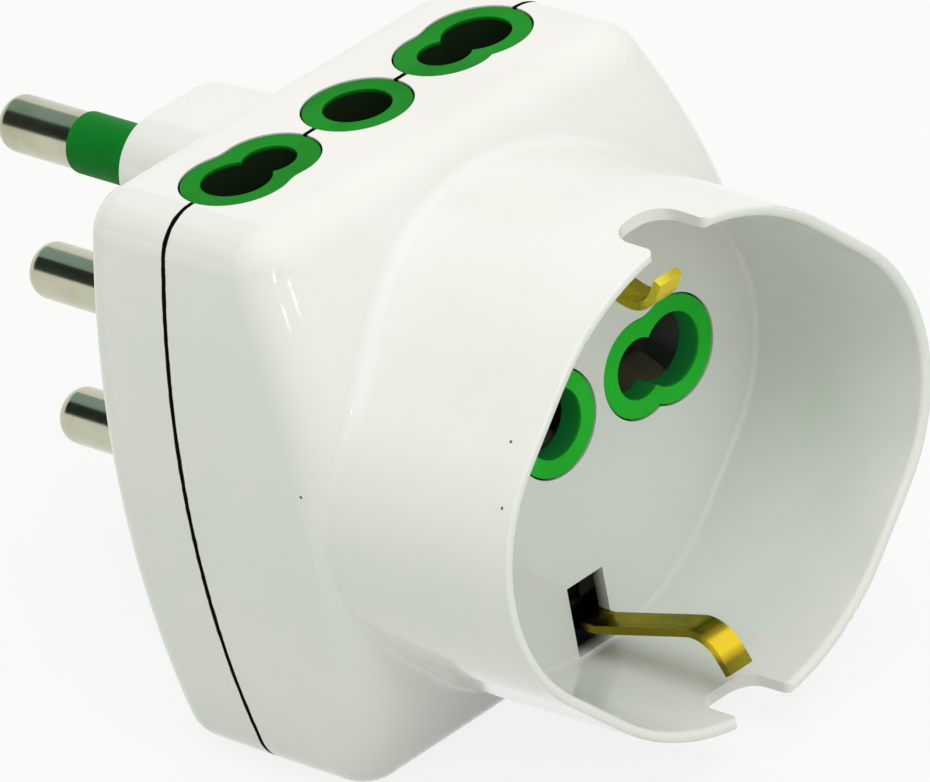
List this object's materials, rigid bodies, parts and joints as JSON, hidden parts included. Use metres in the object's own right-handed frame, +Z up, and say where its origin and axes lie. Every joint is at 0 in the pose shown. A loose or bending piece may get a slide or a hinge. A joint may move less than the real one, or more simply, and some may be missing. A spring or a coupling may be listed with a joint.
{
  "type": "multi socket adapter",
  "caption": "White plug-in socket adapter with round pins in a line, green-collared sockets in its upper and lower faces, and a round plug recess with earth clips in front.",
  "frame": {"origin": "on the axis of the earth pin, at the plug face", "axes": "+Y along the pins, away from the body, so the recess opens along -Y; +Z up, from the neutral pin to the line pin; +X to the right as seen from the recess"},
  "size_m": [0.0476, 0.0738, 0.0472],
  "materials": {
    "white_plastic": "moulded, satin to glossy",
    "green_plastic": "moulded, satin",
    "plated_metal": "nickel plated, turned",
    "brass": "stamped and bent sheet",
    "screw_steel": "zinc plated"
  },
  "bodies": {
    "root": {"rear_shell": "white_plastic", "front_shell": "white_plastic", "line_pin": "plated_metal", "earth_pin": "plated_metal", "neutral_pin": "plated_metal", "line_pin_sleeve": "green_plastic", "neutral_pin_sleeve": "green_plastic", "line_strip": "brass", "line_upper_jaw": "brass", "line_lower_jaw": "brass", "line_front_jaw": "brass", "earth_strip": "brass", "earth_upper_jaw": "brass", "earth_lower_jaw": "brass", "earth_front_jaw": "brass", "neutral_strip": "brass", "neutral_upper_jaw": "brass", "neutral_lower_jaw": "brass", "neutral_front_jaw": "brass", "upper_earth_clip": "brass", "lower_earth_clip": "brass", "shell_screws": "screw_steel", "upper_line_collar": "green_plastic", "upper_earth_collar": "green_plastic", "upper_neutral_collar": "green_plastic", "lower_line_collar": "green_plastic", "lower_earth_collar": "green_plastic", "lower_neutral_collar": "green_plastic", "front_line_collar": "green_plastic", "front_earth_collar": "green_plastic", "front_neutral_collar": "green_plastic"}
  },
  "joints": []
}
